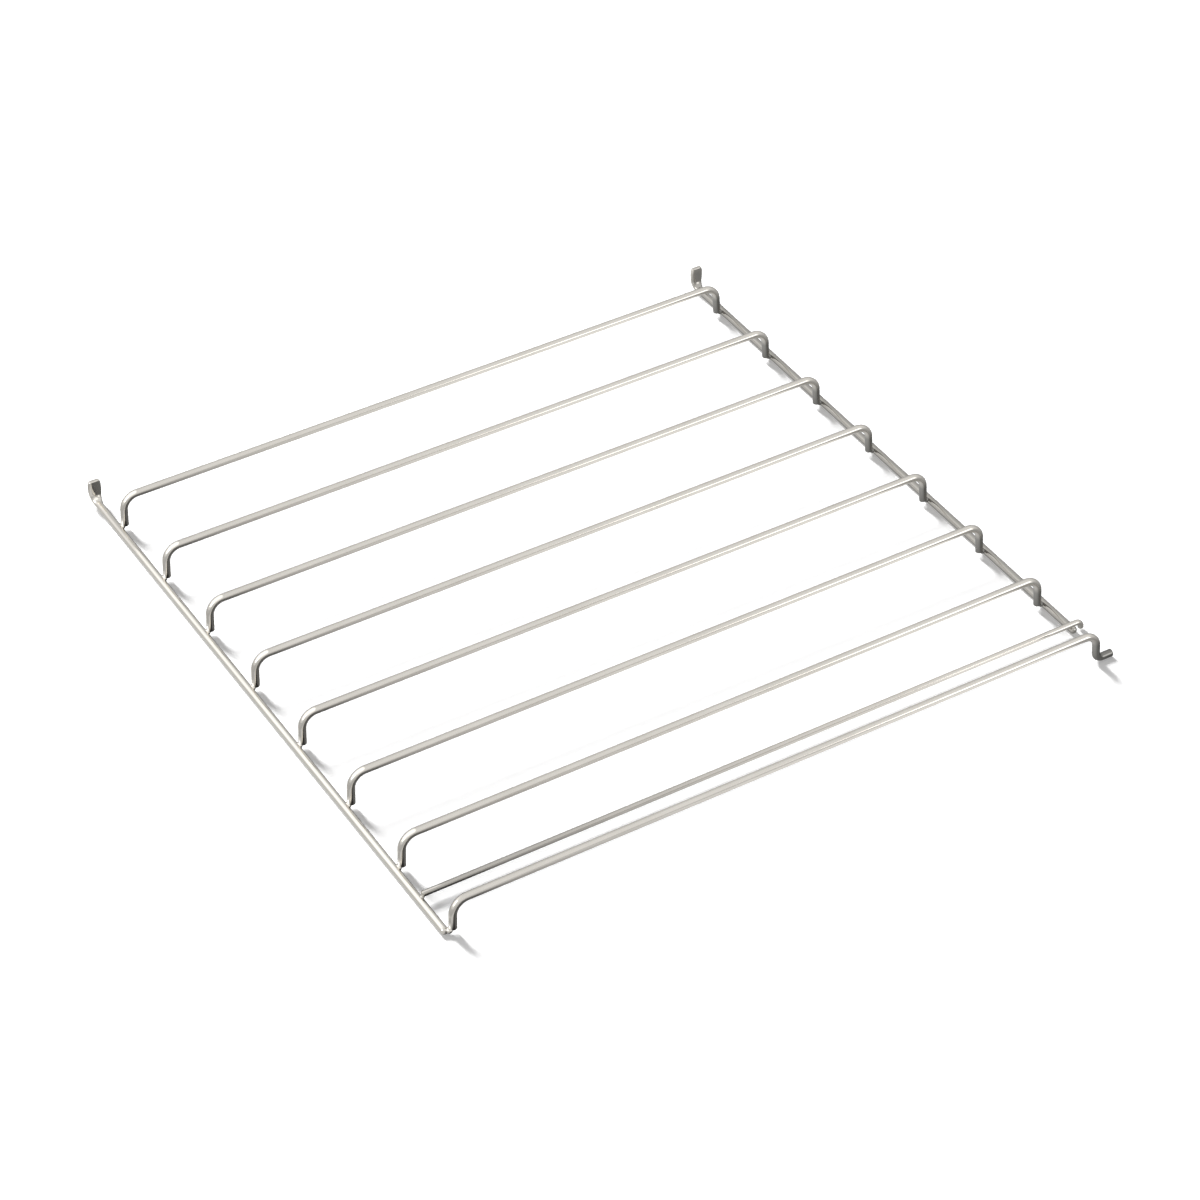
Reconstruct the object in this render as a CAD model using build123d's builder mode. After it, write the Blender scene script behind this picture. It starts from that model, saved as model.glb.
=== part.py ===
# Oven shelf runner assembly: a welded wire rack lying flat on its two rails.
# +X runs along the runners, +Y along the rails towards the hooked ends, +Z up.
# The origin is at the middle of the rack, on the floor.
import math
import os

from build123d import *

# Wire stock
wire_d = 4.0            # rails, runners and bottom bar
cross_d = 3.0           # thin cross bar
end_chamfer = 0.35      # broken edge on every cut wire end

# Rails
rail_spacing = 365.6    # between the two rail axes
hook_reach = 27.5       # first runner to the upright of the hooks
hook_bend_r = 5.0       # centre line of the hook bend
hook_lead = 2.5         # straight wire before the bend, where the flattening sets in
hook_rise = 13.0        # hook tip above the rail axis
tip_width = 7.4         # flattened hook tip, across the rail
tip_thickness = 2.4     # flattened hook tip, along the rail
tip_top_ratio = 0.75    # width of the hook at its top over its full width
bend_press = 0.9        # share of the flattening that is reached at the end of the bend
tip_edge_r = 0.5        # rounding on the end of the hook tip

# Runners
runner_count = 7
runner_pitch = 50.0
runner_rise = 18.0      # runner axis above the rail axis
leg_lean = 2.5          # degrees, each leg spreads outward towards its foot
leg_stop = 0.8          # leg end above the rail axis
bend_r = 8.0            # centre line of the runner bends

# Cross bar and bottom bar
cross_gap = 24.2        # last runner to cross bar
cross_end = 0.5         # left end of the cross bar, short of the rail axis
cross_overhang = 1.7    # straight run past the right rail's axis, before the bar bends down
cross_bend_r = 3.3      # centre line of the bend beside the right rail
cross_tail = 0.8        # right end of the cross bar, below the rail axis
bottom_gap = 48.5       # last runner to bottom bar
bottom_rise = 16.6      # bottom bar axis above the rail axis
foot_length = 9.4       # from the leg to the end of the foot
foot_rise = 0.0         # foot axis above the rail axis
foot_bend_r = 4.0       # centre line of the foot bend

# Rail ends past the wires that they carry
left_rail_past = 0.5    # past the bottom bar
right_rail_past = 2.4   # past the cross bar

# Welds
weld_sink = 0.2         # axes of two welded wires, closer together than their radii add up to
weld_rise = 0.6         # weld metal of a leg, above the rail axis
neck_ratio = 0.32       # radius of the weld metal over the diameter of the welded wire

# Places that follow from the sizes above
wire_r = wire_d / 2
cross_r = cross_d / 2
axis_z = wire_r
over_left = tip_width / 2
bar_lift = wire_r + cross_r - weld_sink
over_right = cross_overhang + cross_bend_r + cross_r
overall_x = over_left + rail_spacing + over_right
rail_left_x = over_left - overall_x / 2
rail_right_x = rail_left_x + rail_spacing
runners_span = (runner_count - 1) * runner_pitch
overall_y = wire_r + hook_reach + runners_span + bottom_gap + wire_r
hook_y = overall_y / 2 - wire_r
first_y = hook_y - hook_reach
last_y = first_y - runners_span
cross_y = last_y - cross_gap
bottom_y = last_y - bottom_gap
lean = math.tan(math.radians(leg_lean))
lap = wire_d - weld_sink
leg_left_x = rail_left_x + lap
leg_right_x = rail_right_x - lap


def weld(leg_x, y, rail_x):
    """Neck of weld metal from a leg to its rail, and the seat that the rail presses into it."""
    with Locations(((leg_x + rail_x) / 2, y, axis_z + weld_rise)):
        Cylinder(neck_ratio * wire_d, lap, rotation=(0, 90, 0))
    with Locations((rail_x, y, axis_z)):
        Cylinder(wire_r, 4 * wire_d, rotation=(90, 0, 0), mode=Mode.SUBTRACT)


def make_rail(x, near_y):
    """Straight wire with its far end bent up and pressed flat, wider the further it goes round."""
    bend_y = hook_y - hook_bend_r
    upright_z = axis_z + hook_bend_r
    top_z = axis_z + hook_rise
    with BuildPart() as rail:
        with BuildSketch(Plane((x, near_y, axis_z), x_dir=(1, 0, 0), z_dir=(0, 1, 0))):
            Circle(wire_r)
        extrude(amount=bend_y - hook_lead - near_y)
        chamfer(rail.faces().sort_by(Axis.Y)[0].edges(), end_chamfer)
        with BuildSketch(Plane((x, bend_y - hook_lead, axis_z), x_dir=(1, 0, 0), z_dir=(0, 1, 0))):
            Circle(wire_r)
        for turn in (0, 45, 90):
            angle = math.radians(turn)
            bend_point = (
                x,
                bend_y + hook_bend_r * math.sin(angle),
                axis_z + hook_bend_r * (1 - math.cos(angle)),
            )
            press = bend_press * turn / 90
            with BuildSketch(Plane(bend_point, x_dir=(1, 0, 0), z_dir=(0, math.cos(angle), math.sin(angle)))):
                Ellipse(
                    wire_r + press * (tip_width / 2 - wire_r),
                    wire_r + press * (tip_thickness / 2 - wire_r),
                )
        # Shares of the upright's height and of the full width
        for height, width in ((0.45, 1.0), (0.8, 0.95), (1.0, tip_top_ratio)):
            with BuildSketch(Plane((x, hook_y, upright_z + height * (top_z - upright_z)))):
                Ellipse(width * tip_width / 2, tip_thickness / 2)
        loft()
        fillet(rail.faces().sort_by(Axis.Z)[-1].edges(), tip_edge_r)
    return rail.part


def make_runner(y):
    """Wide U of wire, both legs lapped on the inner sides of the rails."""
    with BuildPart() as runner:
        top_z = axis_z + runner_rise
        low_z = axis_z + leg_stop
        with BuildLine(Plane.XZ.offset(-y)) as path:
            FilletPolyline(
                (leg_left_x + lean * leg_stop, low_z),
                (leg_left_x + lean * runner_rise, top_z),
                (leg_right_x - lean * runner_rise, top_z),
                (leg_right_x - lean * leg_stop, low_z),
                radius=bend_r,
            )
        with BuildSketch(Plane(origin=path.line @ 0, z_dir=path.line % 0)):
            Circle(wire_r)
        sweep()
        chamfer(runner.faces().filter_by(GeomType.PLANE).edges(), end_chamfer)
        weld(leg_left_x, y, rail_left_x)
        weld(leg_right_x, y, rail_right_x)
    return runner.part


os.makedirs("parts", exist_ok=True)

left_rail = make_rail(rail_left_x, bottom_y - left_rail_past)
left_rail.label = "left_rail"
export_step(left_rail, "parts/left_rail.step")

right_rail = make_rail(rail_right_x, cross_y - right_rail_past)
right_rail.label = "right_rail"
export_step(right_rail, "parts/right_rail.step")

for number in range(runner_count):
    runner = make_runner(first_y - number * runner_pitch)
    runner.label = f"runner_{number + 1}"
    export_step(runner, f"parts/runner_{number + 1}.step")

# Thin cross bar lying on both rails, bent down outside the right one
with BuildPart() as cross_bar:
    bar_z = axis_z + bar_lift
    tail_x = rail_right_x + cross_overhang + cross_bend_r
    with BuildLine(Plane.XZ.offset(-cross_y)) as cross_path:
        FilletPolyline(
            (rail_left_x + cross_end, bar_z),
            (tail_x, bar_z),
            (tail_x, axis_z - cross_tail),
            radius=cross_bend_r,
        )
    with BuildSketch(Plane(origin=cross_path.line @ 0, z_dir=cross_path.line % 0)):
        Circle(cross_r)
    sweep()
    chamfer(cross_bar.faces().filter_by(GeomType.PLANE).edges(), end_chamfer)
    for rail_x in (rail_left_x, rail_right_x):
        with Locations((rail_x, cross_y, axis_z + bar_lift / 2)):
            Cylinder(neck_ratio * cross_d, bar_lift)
        with Locations((rail_x, cross_y, axis_z)):
            Cylinder(wire_r, 4 * wire_d, rotation=(90, 0, 0), mode=Mode.SUBTRACT)
cross_bar.part.label = "cross_bar"
export_step(cross_bar.part, "parts/cross_bar.step")

# Bottom bar: one leg on the left rail's end, the other free with a foot turned outward
with BuildPart() as bottom_bar:
    top_z = axis_z + bottom_rise
    foot_z = axis_z + foot_rise
    foot_x = leg_right_x - lean * foot_rise
    with BuildLine(Plane.XZ.offset(-bottom_y)) as bottom_path:
        FilletPolyline(
            (leg_left_x + lean * leg_stop, axis_z + leg_stop),
            (leg_left_x + lean * bottom_rise, top_z),
            (leg_right_x - lean * bottom_rise, top_z),
            (foot_x, foot_z),
            (foot_x + foot_length, foot_z),
            radius=(bend_r, bend_r, foot_bend_r),
        )
    with BuildSketch(Plane(origin=bottom_path.line @ 0, z_dir=bottom_path.line % 0)):
        Circle(wire_r)
    sweep()
    chamfer(bottom_bar.faces().filter_by(GeomType.PLANE).edges(), end_chamfer)
    weld(leg_left_x, bottom_y, rail_left_x)
bottom_bar.part.label = "bottom_bar"
export_step(bottom_bar.part, "parts/bottom_bar.step")
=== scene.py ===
# Oven shelf runner assembly: a welded rack of bright plated wire, lying flat on a white floor.
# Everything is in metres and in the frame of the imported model. +X runs along the runners,
# +Y along the rails towards their hooked ends, and +Z is up.
import math

import bmesh
import bpy
from mathutils import Matrix, Vector


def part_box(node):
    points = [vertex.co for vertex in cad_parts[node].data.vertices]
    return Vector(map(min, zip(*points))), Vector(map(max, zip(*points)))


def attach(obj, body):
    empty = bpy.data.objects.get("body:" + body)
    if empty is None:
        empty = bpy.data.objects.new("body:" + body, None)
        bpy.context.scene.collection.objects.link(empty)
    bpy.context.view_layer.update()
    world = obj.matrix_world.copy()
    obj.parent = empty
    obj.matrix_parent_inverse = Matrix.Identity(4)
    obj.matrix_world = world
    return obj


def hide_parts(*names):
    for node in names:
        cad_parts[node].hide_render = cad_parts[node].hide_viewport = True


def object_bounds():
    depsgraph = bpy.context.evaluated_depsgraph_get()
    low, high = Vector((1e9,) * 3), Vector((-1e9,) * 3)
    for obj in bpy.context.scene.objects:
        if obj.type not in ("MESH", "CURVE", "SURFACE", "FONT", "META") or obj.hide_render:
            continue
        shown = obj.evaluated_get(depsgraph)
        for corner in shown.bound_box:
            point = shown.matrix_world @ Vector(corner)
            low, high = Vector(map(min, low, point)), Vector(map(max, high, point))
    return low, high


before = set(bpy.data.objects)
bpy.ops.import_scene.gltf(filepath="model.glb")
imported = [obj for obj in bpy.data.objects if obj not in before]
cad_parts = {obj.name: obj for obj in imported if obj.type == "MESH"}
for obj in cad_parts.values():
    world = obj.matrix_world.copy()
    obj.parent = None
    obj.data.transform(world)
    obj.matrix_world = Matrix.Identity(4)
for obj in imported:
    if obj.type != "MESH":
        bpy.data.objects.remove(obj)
cad_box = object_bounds()

MM = 0.001

# Sizes that the frame gives
runner_names = sorted(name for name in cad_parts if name.startswith("runner_"))
runner_low, runner_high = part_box("runner_1")
left_low, left_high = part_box("left_rail")
right_low, right_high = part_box("right_rail")
cross_low, cross_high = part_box("cross_bar")
bottom_low, bottom_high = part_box("bottom_bar")

first_y = (runner_low.y + runner_high.y) / 2
wire_r = (runner_high.y - runner_low.y) / 2
cross_r = (cross_high.y - cross_low.y) / 2
axis_z = left_low.z + wire_r
left_x = (left_low.x + left_high.x) / 2
right_x = (right_low.x + right_high.x) / 2
runner_z = runner_high.z - wire_r
bottom_z = bottom_high.z - wire_r
cross_z = cross_high.z - cross_r
cross_y = (cross_low.y + cross_high.y) / 2
bottom_y = (bottom_low.y + bottom_high.y) / 2
tail_x = cross_high.x - cross_r

# Sizes of the bends, tips and welds
BEND_R = 8.0 * MM           # centre line of the runner bends
FOOT_BEND_R = 4.0 * MM      # centre line of the foot bend
HOOK_BEND_R = 5.0 * MM      # centre line of the hook bend
CROSS_BEND_R = 3.3 * MM     # centre line of the bend beside the right rail
LEG_LEAN = math.tan(math.radians(2.5))
LEG_STOP = 0.8 * MM         # leg end above the rail's axis
PRESS = 0.2 * MM            # how far a welded wire is pressed into its rail
CUT_EDGE = 0.35 * MM        # rounding on a cut wire end
RAIL_END = 1.9 * MM         # rounding on the near end of a rail
WELD_RISE = 0.4 * MM        # weld metal of a leg, above the rail's axis
WELD_SIZE = (1.7 * MM, 1.9 * MM, 1.5 * MM)
CROSS_WELD = (1.2 * MM, 1.4 * MM, 0.9 * MM)
CROSS_START = 1.3 * MM      # left end of the cross bar, past the left rail's axis
CROSS_WELD_AT = 1.2 * MM    # middle of the cross bar's left weld, past the left rail's axis
HOOK_REACH = 27.5 * MM      # first runner to the upright of the hooks
TIP_EDGE = 0.45 * MM        # rounding on the top of a hook
TIP_START = 0.01 * MM       # straight wire between the hook bend and the tip
FLOOR_GAP = 0.02 * MM       # floor below the rack

SIDES = 40                  # points round a wire
BEND_STEPS = 16             # rings in a bend

lap = 2 * wire_r - PRESS
leg_left_x = left_x + lap
leg_right_x = right_x - lap
leg_end_z = axis_z + LEG_STOP
hook_y = first_y + HOOK_REACH


def in_edit_mesh(piece):
    """The mesh of a piece that is in edit mode."""
    return bmesh.from_edit_mesh(piece.data)


def choose_faces(piece, wanted):
    """Selects the faces that a test picks out, and nothing else."""
    bpy.ops.mesh.select_mode(type="FACE")
    bpy.ops.mesh.select_all(action="DESELECT")
    mesh = in_edit_mesh(piece)
    for face in mesh.faces:
        face.select_set(wanted(face))
    bmesh.update_edit_mesh(piece.data)


def choose_points(piece, wanted):
    """Selects the points that a test picks out, and nothing else."""
    bpy.ops.mesh.select_mode(type="VERT")
    bpy.ops.mesh.select_all(action="DESELECT")
    mesh = in_edit_mesh(piece)
    for point in mesh.verts:
        point.select_set(wanted(point.co))
    bmesh.update_edit_mesh(piece.data)


def is_cap(face):
    """A wire's flat end is the only face with more than four sides."""
    return len(face.verts) > 4


def lay_wire(name, corners, bends, radius):
    """A round wire through the corners: a disc drawn out along each run and spun round each bend.

    It is left in edit mode with its last end selected, and its runs and bends are returned with it.
    """
    corners = [Vector(corner) for corner in corners]
    ways = [(after - before).normalized() for before, after in zip(corners, corners[1:])]
    bpy.ops.object.select_all(action="DESELECT")
    bpy.ops.mesh.primitive_circle_add(
        vertices=SIDES, radius=radius, fill_type="NGON", location=corners[0],
        rotation=ways[0].to_track_quat("Z", "Y").to_euler(),
    )
    wire = bpy.context.object
    wire.name = wire.data.name = name
    bpy.ops.object.transform_apply(location=True, rotation=True, scale=True)
    bpy.ops.object.mode_set(mode="EDIT")
    bpy.ops.mesh.select_all(action="SELECT")
    reached = corners[0]
    drawn = 0.0
    route = []
    for corner, way, onward, bend_r in zip(corners[1:], ways, ways[1:], bends):
        angle = way.angle(onward)
        start = corner - way * bend_r * math.tan(angle / 2)
        bpy.ops.mesh.extrude_region_move(TRANSFORM_OT_translate={"value": start - reached})
        axis = way.cross(onward).normalized()
        centre = start + axis.cross(way) * bend_r
        # Spin turns left-handed round its axis, so the axis is given the other way round
        bpy.ops.mesh.spin(steps=BEND_STEPS, angle=angle, center=centre, axis=-axis)
        route.append((reached, way, (start - reached).length, None, drawn))
        drawn += (start - reached).length
        route.append((start, way, bend_r * angle, (centre, axis), drawn))
        drawn += bend_r * angle
        reached = corner + onward * bend_r * math.tan(angle / 2)
    bpy.ops.mesh.extrude_region_move(TRANSFORM_OT_translate={"value": corners[-1] - reached})
    route.append((reached, ways[-1], (corners[-1] - reached).length, None, drawn))
    return wire, route


def round_ends(wire, size):
    """Rounds the edge of every cut end."""
    choose_faces(wire, is_cap)
    bpy.ops.mesh.bevel(offset=size, segments=3, affect="EDGES")


def finish_wire(wire, route, side):
    """Closes the wire and keeps for each point its place on the straight wire before it was bent."""
    bpy.ops.mesh.select_all(action="SELECT")
    bpy.ops.mesh.remove_doubles(threshold=0.001 * MM)
    bpy.ops.mesh.normals_make_consistent(inside=False)
    bpy.ops.object.mode_set(mode="OBJECT")
    bpy.ops.object.shade_smooth_by_angle(angle=math.radians(35))
    side = Vector(side)
    drawn_place = wire.data.attributes.new("drawn", "FLOAT_VECTOR", "POINT")
    for point, kept in zip(wire.data.vertices, drawn_place.data):
        best = None
        for start, way, length, turn, drawn in route:
            if turn is None:
                along = min(max((point.co - start).dot(way), 0.0), length)
                here, heading = start + way * along, way
            else:
                centre, axis = turn
                spoke = start - centre
                arm = point.co - centre
                angle = math.atan2(arm.dot(way), arm.dot(spoke.normalized()))
                angle = min(max(angle, 0.0), length / spoke.length)
                spin = Matrix.Rotation(angle, 3, axis)
                here, heading = centre + spin @ spoke, spin @ way
                along = angle * spoke.length
            off = point.co - here
            if best is None or off.length < best[0]:
                best = (off.length, (drawn + along, off.dot(side), off.dot(side.cross(heading))))
        kept.vector = best[1]


def weld_on(wire, number, spot, size):
    """Fuses a lump of weld metal to the wire, a ball squeezed out of round."""
    bpy.ops.object.select_all(action="DESELECT")
    bpy.ops.mesh.primitive_uv_sphere_add(segments=24, ring_count=14, radius=1.0, location=spot)
    lump = bpy.context.object
    lump.scale = size
    bpy.ops.object.transform_apply(location=True, rotation=True, scale=True)
    bpy.ops.object.mode_set(mode="EDIT")
    bpy.ops.mesh.select_all(action="SELECT")
    bpy.ops.transform.vertex_random(offset=0.06 * MM, uniform=0.0, normal=1.0, seed=number)
    bpy.ops.mesh.vertices_smooth(factor=0.5, repeat=1)
    bpy.ops.object.mode_set(mode="OBJECT")
    bpy.ops.object.shade_smooth()
    bpy.ops.object.select_all(action="DESELECT")
    wire.select_set(True)
    bpy.context.view_layer.objects.active = wire
    fuse = wire.modifiers.new("weld", "BOOLEAN")
    fuse.operation = "UNION"
    fuse.solver = "EXACT"
    fuse.object = lump
    bpy.ops.object.modifier_apply(modifier=fuse.name)
    bpy.data.objects.remove(lump)


# Rails: the far end is bent up, widened and pressed flat between two dies, which leave it slightly dished
BEND_WIDE, BEND_THICK = 3.5, 1.25   # half width and half thickness at the end of the bend, mm
TIP_SWELL = 1.03                    # each ring is this much thicker than the last, before it is pressed
TIP_DISH = -0.4                     # share of its bulge that the near die turns inward
TIP_RINGS = (
    # height as a share of the tip's, half width in mm, half thickness in mm
    (0.12, 3.58, 1.22),
    (0.26, 3.65, 1.16),
    (0.45, 3.69, 1.13),
    (0.62, 3.66, 1.12),
    (0.78, 3.52, 1.12),
    (0.90, 3.22, 1.12),
    (1.00, 2.72, 1.12),
)


def make_rail(name, x, near_y, top_z):
    """A straight wire whose far end is bent up into a hook with a flat tip."""
    upright_z = axis_z + HOOK_BEND_R
    bend_y = hook_y - HOOK_BEND_R
    rail, route = lay_wire(
        name,
        [(x, near_y, axis_z), (x, hook_y, axis_z), (x, hook_y, upright_z + TIP_START)],
        [HOOK_BEND_R],
        wire_r,
    )
    # The rings of the bend are spread and thinned, more and more towards its end
    for step in range(1, BEND_STEPS + 1):
        share = step / BEND_STEPS
        angle = math.radians(90) * share
        ring = Vector((x, bend_y + HOOK_BEND_R * math.sin(angle), upright_z - HOOK_BEND_R * math.cos(angle)))
        onward = Vector((0, math.cos(angle), math.sin(angle)))
        choose_points(
            rail,
            lambda p: abs((p - ring).dot(onward)) < 0.02 * MM and (p - ring).length < 1.2 * wire_r,
        )
        wide = 1 + share * (BEND_WIDE * MM / wire_r - 1)
        thin = 1 + share * (BEND_THICK * MM / wire_r - 1)
        bpy.ops.transform.resize(value=(wide, thin, thin), center_override=ring)
    choose_faces(rail, lambda f: is_cap(f) and f.calc_center_median().z > upright_z - 0.1 * MM)
    reached, half_width = upright_z + TIP_START, BEND_WIDE * MM
    for height, wide, thick in TIP_RINGS:
        ring_z = upright_z + height * (top_z - upright_z)
        bpy.ops.mesh.extrude_region_move(TRANSFORM_OT_translate={"value": (0, 0, ring_z - reached)})
        bpy.ops.transform.resize(
            value=(wide * MM / half_width, TIP_SWELL, 1), center_override=(x, hook_y, ring_z)
        )
        reached, half_width = ring_z, wide * MM
        for die, dish in ((-thick * MM, TIP_DISH), (thick * MM, 0.0)):
            face_y = hook_y + die
            choose_points(
                rail,
                lambda p: abs(p.z - ring_z) < 0.01 * MM and (p.y - face_y) * die > 0,
            )
            bpy.ops.transform.resize(value=(1, dish, 1), center_override=(x, face_y, ring_z))
        choose_faces(rail, lambda f: is_cap(f) and f.calc_center_median().z > upright_z)
    choose_faces(rail, lambda f: is_cap(f) and f.calc_center_median().z < upright_z)
    bpy.ops.mesh.bevel(offset=RAIL_END, segments=8, affect="EDGES")
    choose_faces(rail, lambda f: is_cap(f) and f.calc_center_median().z > upright_z)
    bpy.ops.mesh.bevel(offset=TIP_EDGE, segments=3, affect="EDGES")
    finish_wire(rail, route, (1, 0, 0))
    return rail


left_rail = make_rail("rail_left", left_x, left_low.y, left_high.z)
right_rail = make_rail("rail_right", right_x, right_low.y, right_high.z)

# Runners: one is modelled at the first place, and the others are copies moved along the rails
runner, runner_route = lay_wire(
    "runner_wire_1",
    [
        (leg_left_x + LEG_LEAN * LEG_STOP, first_y, leg_end_z),
        (leg_left_x + LEG_LEAN * (runner_z - axis_z), first_y, runner_z),
        (leg_right_x - LEG_LEAN * (runner_z - axis_z), first_y, runner_z),
        (leg_right_x - LEG_LEAN * LEG_STOP, first_y, leg_end_z),
    ],
    [BEND_R, BEND_R],
    wire_r,
)
round_ends(runner, CUT_EDGE)
finish_wire(runner, runner_route, (0, 1, 0))

runners = []
for number, name in enumerate(runner_names, start=1):
    low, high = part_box(name)
    place_y = (low.y + high.y) / 2
    bpy.ops.object.select_all(action="DESELECT")
    runner.select_set(True)
    bpy.context.view_layer.objects.active = runner
    bpy.ops.object.duplicate()
    copy = bpy.context.object
    copy.name = copy.data.name = f"wire_{name}"
    copy.location.y = place_y - first_y
    bpy.ops.object.transform_apply(location=True, rotation=True, scale=True)
    for end, x in enumerate((leg_left_x - lap / 2, leg_right_x + lap / 2)):
        weld_on(copy, 2 * number + end, (x, place_y, axis_z + WELD_RISE), WELD_SIZE)
    runners.append(copy)
bpy.data.objects.remove(runner)

# Thin cross bar on both rails, bent down outside the right one
cross_bar, cross_route = lay_wire(
    "wire_cross_bar",
    [(left_x + CROSS_START, cross_y, cross_z), (tail_x, cross_y, cross_z), (tail_x, cross_y, cross_low.z)],
    [CROSS_BEND_R],
    cross_r,
)
round_ends(cross_bar, CUT_EDGE)
finish_wire(cross_bar, cross_route, (0, 1, 0))
for number, x in enumerate((left_x + CROSS_WELD_AT, right_x), start=30):
    weld_on(cross_bar, number, (x, cross_y, axis_z + wire_r - PRESS), CROSS_WELD)

# Bottom bar: its left leg is on the left rail's end, and its free right end turns out into a foot
bottom_bar, bottom_route = lay_wire(
    "wire_bottom_bar",
    [
        (leg_left_x + LEG_LEAN * LEG_STOP, bottom_y, leg_end_z),
        (leg_left_x + LEG_LEAN * (bottom_z - axis_z), bottom_y, bottom_z),
        (leg_right_x - LEG_LEAN * (bottom_z - axis_z), bottom_y, bottom_z),
        (leg_right_x, bottom_y, axis_z),
        (bottom_high.x, bottom_y, axis_z),
    ],
    [BEND_R, BEND_R, FOOT_BEND_R],
    wire_r,
)
round_ends(bottom_bar, CUT_EDGE)
finish_wire(bottom_bar, bottom_route, (0, 1, 0))
weld_on(bottom_bar, 40, (leg_left_x - lap / 2, bottom_y, axis_z + WELD_RISE), WELD_SIZE)


# Materials
def colour(code):
    """Linear colour of an sRGB hex code."""
    parts = [int(code[i:i + 2], 16) / 255 for i in (1, 3, 5)]
    return [c / 12.92 if c <= 0.04045 else ((c + 0.055) / 1.055) ** 2.4 for c in parts] + [1.0]


def node(tree, kind, inputs=None, **settings):
    """Adds a node, with its settings, and its inputs as values or as links from other nodes' outputs."""
    made = tree.nodes.new(kind)
    for key, value in settings.items():
        setattr(made, key, value)
    for key, value in (inputs or {}).items():
        if isinstance(value, bpy.types.NodeSocket):
            tree.links.new(value, made.inputs[key])
        else:
            made.inputs[key].default_value = value
    return made


def plated_wire(name, grey, clear_x, grey_x):
    """Nickel-chrome plate on drawn steel wire: a bright mirror with a trace of warmth. The drawing
    die left long fine lines along the wire. Low down, from one place across the rack to another, the
    plate is mixed towards dark grey by a given share: painted shade standing in for dark reflections."""
    material = bpy.data.materials.new(name)
    material.use_nodes = True
    tree = material.node_tree
    tree.nodes.clear()
    place = node(tree, "ShaderNodeAttribute", attribute_name="drawn").outputs["Vector"]
    spot = node(tree, "ShaderNodeTexCoord").outputs["Object"]
    # Drawing lines are about 0.15 mm apart and run on for some 30 mm
    lines_at = node(
        tree, "ShaderNodeMapping",
        {"Vector": place, "Scale": (1 / (30 * MM), 1 / (0.3 * MM), 1 / (0.3 * MM))},
    )
    lines = node(
        tree, "ShaderNodeTexNoise",
        {"Vector": lines_at.outputs["Vector"], "Scale": 1.0, "Detail": 3.0, "Roughness": 0.6},
    )
    # The plate has a faint ripple some 3 mm across
    ripple = node(
        tree, "ShaderNodeTexNoise",
        {"Vector": spot, "Scale": 1 / (3 * MM), "Detail": 2.0, "Roughness": 0.5},
    )
    # Cloudy patches some 25 mm long, where handling has dulled the shine
    haze = node(
        tree, "ShaderNodeTexNoise",
        {"Vector": spot, "Scale": 1 / (25 * MM), "Detail": 3.0, "Roughness": 0.55},
    )
    tone = node(
        tree, "ShaderNodeMix",
        {"Factor": haze.outputs["Fac"], "A": colour("#E3DFD8"), "B": colour("#D2CEC6")},
        data_type="RGBA",
    )
    where = node(tree, "ShaderNodeSeparateXYZ", {"Vector": spot})
    # Painted shade: low down, and from one place across the rack to another, the plate is mixed by a given share
    # towards dark grey, standing in for the dark reflections there
    low_down = node(
        tree, "ShaderNodeMapRange",
        {"Value": where.outputs["Z"], "From Min": 18 * MM, "From Max": 11 * MM},
        interpolation_type="SMOOTHSTEP",
    )
    to_side = node(
        tree, "ShaderNodeMapRange",
        {"Value": where.outputs["X"], "From Min": clear_x, "From Max": grey_x, "To Max": grey},
        interpolation_type="SMOOTHSTEP",
    )
    painted_shade = node(
        tree, "ShaderNodeMath",
        {0: low_down.outputs["Result"], 1: to_side.outputs["Result"]},
        operation="MULTIPLY",
    )
    plate = node(
        tree, "ShaderNodeMix",
        {"Factor": painted_shade.outputs[0], "A": tone.outputs["Result"], "B": colour("#6A6A68")},
        data_type="RGBA",
    )
    gloss = node(
        tree, "ShaderNodeMapRange",
        {"Value": haze.outputs["Fac"], "From Min": 0.3, "From Max": 0.7, "To Min": 0.10, "To Max": 0.16},
    )
    ripple_bump = node(
        tree, "ShaderNodeBump",
        {"Height": ripple.outputs["Fac"], "Strength": 0.12, "Distance": 0.1 * MM},
    )
    line_bump = node(
        tree, "ShaderNodeBump",
        {"Height": lines.outputs["Fac"], "Strength": 0.15, "Distance": 0.03 * MM,
         "Normal": ripple_bump.outputs["Normal"]},
    )
    shader = node(
        tree, "ShaderNodeBsdfPrincipled",
        {"Base Color": plate.outputs["Result"], "Metallic": 1.0, "Roughness": gloss.outputs["Result"],
         "Normal": line_bump.outputs["Normal"]},
    )
    node(tree, "ShaderNodeOutputMaterial", {"Surface": shader.outputs["BSDF"]})
    return material


# Painted shade: the plate greys low down on the right legs and the right rail, and along the cross bar towards
# its left end
AT_RIGHT = (164 * MM, 174 * MM)     # bright up to the first place, grey with painted shade from the second
TO_LEFT = (120 * MM, -190 * MM)
unshaded_plate = plated_wire("chrome plated drawn wire", 0.0, *AT_RIGHT)
rail_plate = plated_wire("chrome plated drawn wire, painted shade on the right", 0.45, *AT_RIGHT)
legs_plate = plated_wire("chrome plated drawn wire, painted shade on the right legs", 0.85, *AT_RIGHT)
thin_plate = plated_wire("chrome plated drawn wire, painted shade at one end", 0.40, *TO_LEFT)
plates = {left_rail: unshaded_plate, right_rail: rail_plate, cross_bar: thin_plate}
stands_for = {left_rail: "left_rail", right_rail: "right_rail", cross_bar: "cross_bar", bottom_bar: "bottom_bar"}
stands_for.update(zip(runners, runner_names))
for piece, name in stands_for.items():
    piece.data.materials.clear()
    piece.data.materials.append(plates.get(piece, legs_plate))
    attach(piece, "root")
    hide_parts(name)

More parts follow.
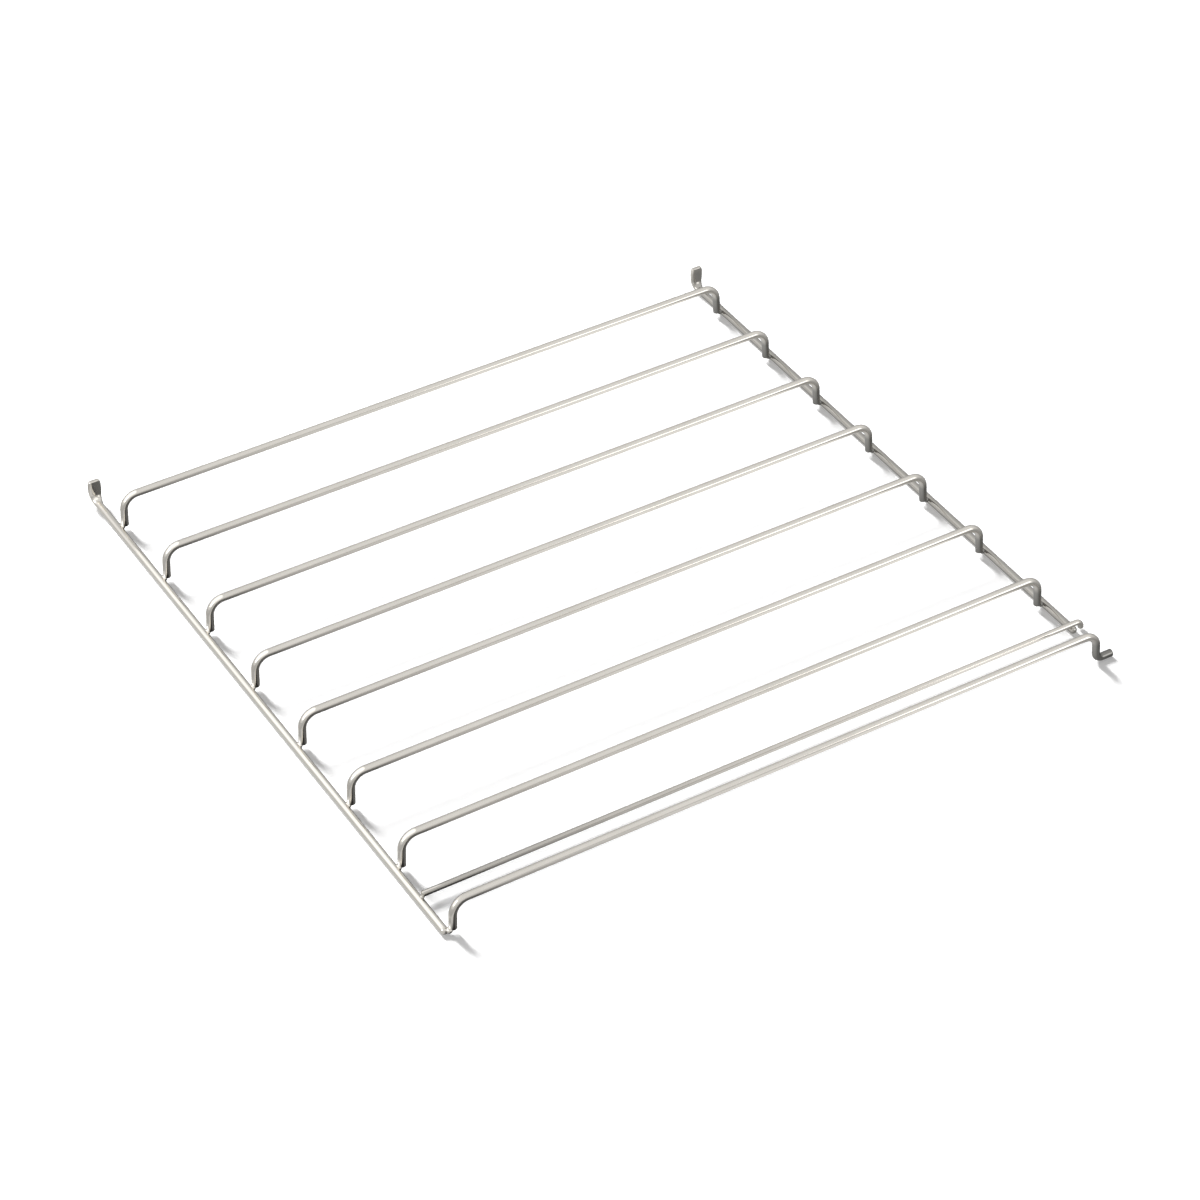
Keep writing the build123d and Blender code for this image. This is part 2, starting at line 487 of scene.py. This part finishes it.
# Floor: pale and matt. The camera sees it white, and the rack's shadow stays on it
FLOOR_SIZE = 60.0
FLOOR_SHADE = "#616161"     # colour of the paper as the metal meets it
CAMERA_SHADE = "#F4F4F4"    # colour of the paper as the camera meets it
CAMERA_GLOW = 0.25          # what the camera sees added to that shade round the rack, to make it white
GLOW_REACH = 0.25           # METAL_GLOW runs from this far left to this far right
FADE_FROM, FADE_TO = 0.180, 0.260   # distance off the middle over which the shadows fade out
METAL_GLOW = (
    # place across the rack, and what the metal sees added to the paper's shade there:
    # least just inside the left rail, and little along the right one
    (-0.250, 0.45),
    (-0.200, 0.38),
    (-0.192, 0.62),
    (-0.187, 0.62),
    (-0.183, 0.00),
    (-0.160, 0.02),
    (-0.140, 0.28),
    (-0.080, 0.58),
    (0.000, 0.82),
    (0.166, 0.94),
    (0.177, 0.45),
    (0.190, 0.20),
    (0.250, 0.35),
)
bpy.ops.object.select_all(action="DESELECT")
bpy.ops.mesh.primitive_plane_add(size=FLOOR_SIZE, location=(0, 0, cad_box[0].z - FLOOR_GAP))
floor = bpy.context.object
floor.name = "floor"
bpy.ops.object.transform_apply(location=True, rotation=True, scale=True)
paper = bpy.data.materials.new("matt white floor paper")
paper.use_nodes = True
tree = paper.node_tree
tree.nodes.clear()
rays = node(tree, "ShaderNodeLightPath")
mirrored = node(
    tree, "ShaderNodeMath",
    {0: rays.outputs["Is Glossy Ray"], 1: rays.outputs["Is Transmission Ray"]},
    operation="MAXIMUM",
)
on_floor = node(tree, "ShaderNodeTexCoord").outputs["Object"]
across = node(
    tree, "ShaderNodeMapRange",
    {"Value": node(tree, "ShaderNodeSeparateXYZ", {"Vector": on_floor}).outputs["X"],
     "From Min": -GLOW_REACH, "From Max": GLOW_REACH},
)
metal_glow = node(tree, "ShaderNodeValToRGB", {"Fac": across.outputs["Result"]})
stops = metal_glow.color_ramp.elements
for x, lightness in METAL_GLOW[1:-1]:
    stops.new((x + GLOW_REACH) / (2 * GLOW_REACH))
for stop, (x, lightness) in zip(stops, METAL_GLOW):
    stop.color = (lightness, lightness, lightness, 1.0)
reflected = node(
    tree, "ShaderNodeMath", {0: mirrored.outputs[0], 1: metal_glow.outputs["Color"]}, operation="MULTIPLY"
)
# Past the rack's edges the shadows fade, and the camera sees plain white
off_centre = node(tree, "ShaderNodeVectorMath", {0: on_floor}, operation="ABSOLUTE")
sideways = node(tree, "ShaderNodeSeparateXYZ", {"Vector": off_centre.outputs["Vector"]})
farther = node(
    tree, "ShaderNodeMath", {0: sideways.outputs["X"], 1: sideways.outputs["Y"]}, operation="MAXIMUM"
)
away = node(
    tree, "ShaderNodeMapRange",
    {"Value": farther.outputs[0], "From Min": FADE_FROM, "From Max": FADE_TO,
     "To Min": CAMERA_GLOW, "To Max": 1.0},
    interpolation_type="SMOOTHSTEP",
)
strength = node(
    tree, "ShaderNodeMath",
    {0: rays.outputs["Is Camera Ray"], 1: away.outputs["Result"], 2: reflected.outputs[0]},
    operation="MULTIPLY_ADD",
)
shade = node(
    tree, "ShaderNodeMix",
    {"Factor": rays.outputs["Is Camera Ray"], "A": colour(FLOOR_SHADE), "B": colour(CAMERA_SHADE)},
    data_type="RGBA",
)
glow = node(tree, "ShaderNodeEmission", {"Color": (1, 1, 1, 1), "Strength": strength.outputs[0]})
matt = node(tree, "ShaderNodeBsdfDiffuse", {"Color": shade.outputs["Result"]})
both = node(tree, "ShaderNodeAddShader", {0: glow.outputs["Emission"], 1: matt.outputs["BSDF"]})
node(tree, "ShaderNodeOutputMaterial", {"Surface": both.outputs["Shader"]})
floor.data.materials.append(paper)

# Camera, at the place that the photograph was taken from
CAMERA_PLACE = (-0.725076, -1.284598, 1.18556)
CAMERA_AZIMUTH = -29.696
CAMERA_ELEVATION = 39.127
CAMERA_ROLL = -1.459
azimuth, elevation = math.radians(CAMERA_AZIMUTH), math.radians(CAMERA_ELEVATION)
back = Vector(
    (math.sin(azimuth) * math.cos(elevation), -math.cos(azimuth) * math.cos(elevation), math.sin(elevation))
)
level = (-back).to_track_quat("-Z", "Y").to_matrix()
bpy.ops.object.camera_add(location=CAMERA_PLACE)
camera = bpy.context.object
camera.rotation_euler = (Matrix.Rotation(math.radians(CAMERA_ROLL), 3, back) @ level).to_euler()
camera.data.lens = 112.738
camera.data.sensor_width = 36.0
camera.data.clip_end = 100.0
bpy.context.scene.camera = camera


# Light: a window behind the rack for the floor's shadows, softboxes for the metal, and a pale room
def softbox(name, place, aim, size, brightness, spread=180):
    """A flat lamp that faces the aim. At the full spread its brightness is what a mirror shows of it,
    where 1 is white. With a narrower spread it is brighter straight ahead and falls off to the sides."""
    width, height = size
    way = Vector(aim) - Vector(place)
    bpy.ops.object.light_add(type="AREA", location=place, rotation=way.to_track_quat("-Z", "Y").to_euler())
    lamp = bpy.context.object
    lamp.name = lamp.data.name = name
    lamp.data.shape = "RECTANGLE"
    lamp.data.size, lamp.data.size_y = width, height
    lamp.data.energy = brightness * math.pi * width * height
    lamp.data.spread = math.radians(spread)
    lamp.visible_camera = False
    return lamp


window = softbox("rear window", (-0.33, 4.75, 3.65), (0.0, 0.0, 0.0), (0.9, 2.66), 83.0)
window.visible_glossy = False
for lamp in (
    softbox("left softbox", (-0.98, -0.02, 0.55), (-0.18, 0.0, 0.0), (0.55, 0.55), 2.2),
    softbox("rail softbox", (-0.204, 0.005, 0.034), (-0.204, 0.005, 0.0), (0.068, 0.34), 0.43, 140),
    softbox("front softbox", (0.74, -0.95, 0.36), (0.15, 0.0, 0.0), (0.50, 0.60), 1.3),
):
    lamp.visible_diffuse = False

FLOOR_FILL = 0.15           # share of the room's light that reaches the floor
world = bpy.data.worlds.new("pale studio")
bpy.context.scene.world = world
world.use_nodes = True
tree = world.node_tree
tree.nodes.clear()
heading = node(tree, "ShaderNodeTexCoord").outputs["Generated"]
way = node(tree, "ShaderNodeSeparateXYZ", {"Vector": heading})
ceiling = node(
    tree, "ShaderNodeMapRange",
    {"Value": way.outputs["Z"], "From Min": 0.0, "From Max": 0.65, "To Min": 0.64, "To Max": 0.95},
    interpolation_type="SMOOTHSTEP",
)
# The room is lighter towards its left side, and darker in its far right corner
side = node(tree, "ShaderNodeVectorMath", {0: heading, 1: (-0.9, 0.4, 0.0)}, operation="DOT_PRODUCT")
lighter = node(
    tree, "ShaderNodeMapRange",
    {"Value": side.outputs["Value"], "From Min": 0.2, "From Max": 0.8, "To Min": 1.0, "To Max": 1.3},
    interpolation_type="SMOOTHSTEP",
)
corner = node(tree, "ShaderNodeVectorMath", {0: heading, 1: (0.5, 0.8, 0.0)}, operation="DOT_PRODUCT")
darker = node(
    tree, "ShaderNodeMapRange",
    {"Value": corner.outputs["Value"], "From Min": 0.30, "From Max": 0.80, "To Min": 1.0, "To Max": 0.8},
    interpolation_type="SMOOTHSTEP",
)
sides = node(
    tree, "ShaderNodeMath", {0: lighter.outputs["Result"], 1: darker.outputs["Result"]}, operation="MULTIPLY"
)
room = node(tree, "ShaderNodeMath", {0: ceiling.outputs["Result"], 1: sides.outputs[0]}, operation="MULTIPLY")
rays = node(tree, "ShaderNodeLightPath")
# The floor gets only a share of the room's light, so that the window's shadows stay on it
dimmed = node(
    tree, "ShaderNodeMapRange",
    {"Value": rays.outputs["Is Diffuse Ray"], "To Min": 1.0, "To Max": FLOOR_FILL},
)
filled = node(
    tree, "ShaderNodeMath", {0: room.outputs[0], 1: dimmed.outputs["Result"]}, operation="MULTIPLY"
)
shown = node(
    tree, "ShaderNodeMix",
    {"Factor": rays.outputs["Is Camera Ray"], "A": filled.outputs[0], "B": 1.0},
    data_type="FLOAT",
)
sky = node(tree, "ShaderNodeBackground", {"Color": (1, 1, 1, 1), "Strength": shown.outputs["Result"]})
node(tree, "ShaderNodeOutputWorld", {"Surface": sky.outputs["Background"]})

bpy.context.scene.view_settings.view_transform = "Standard"
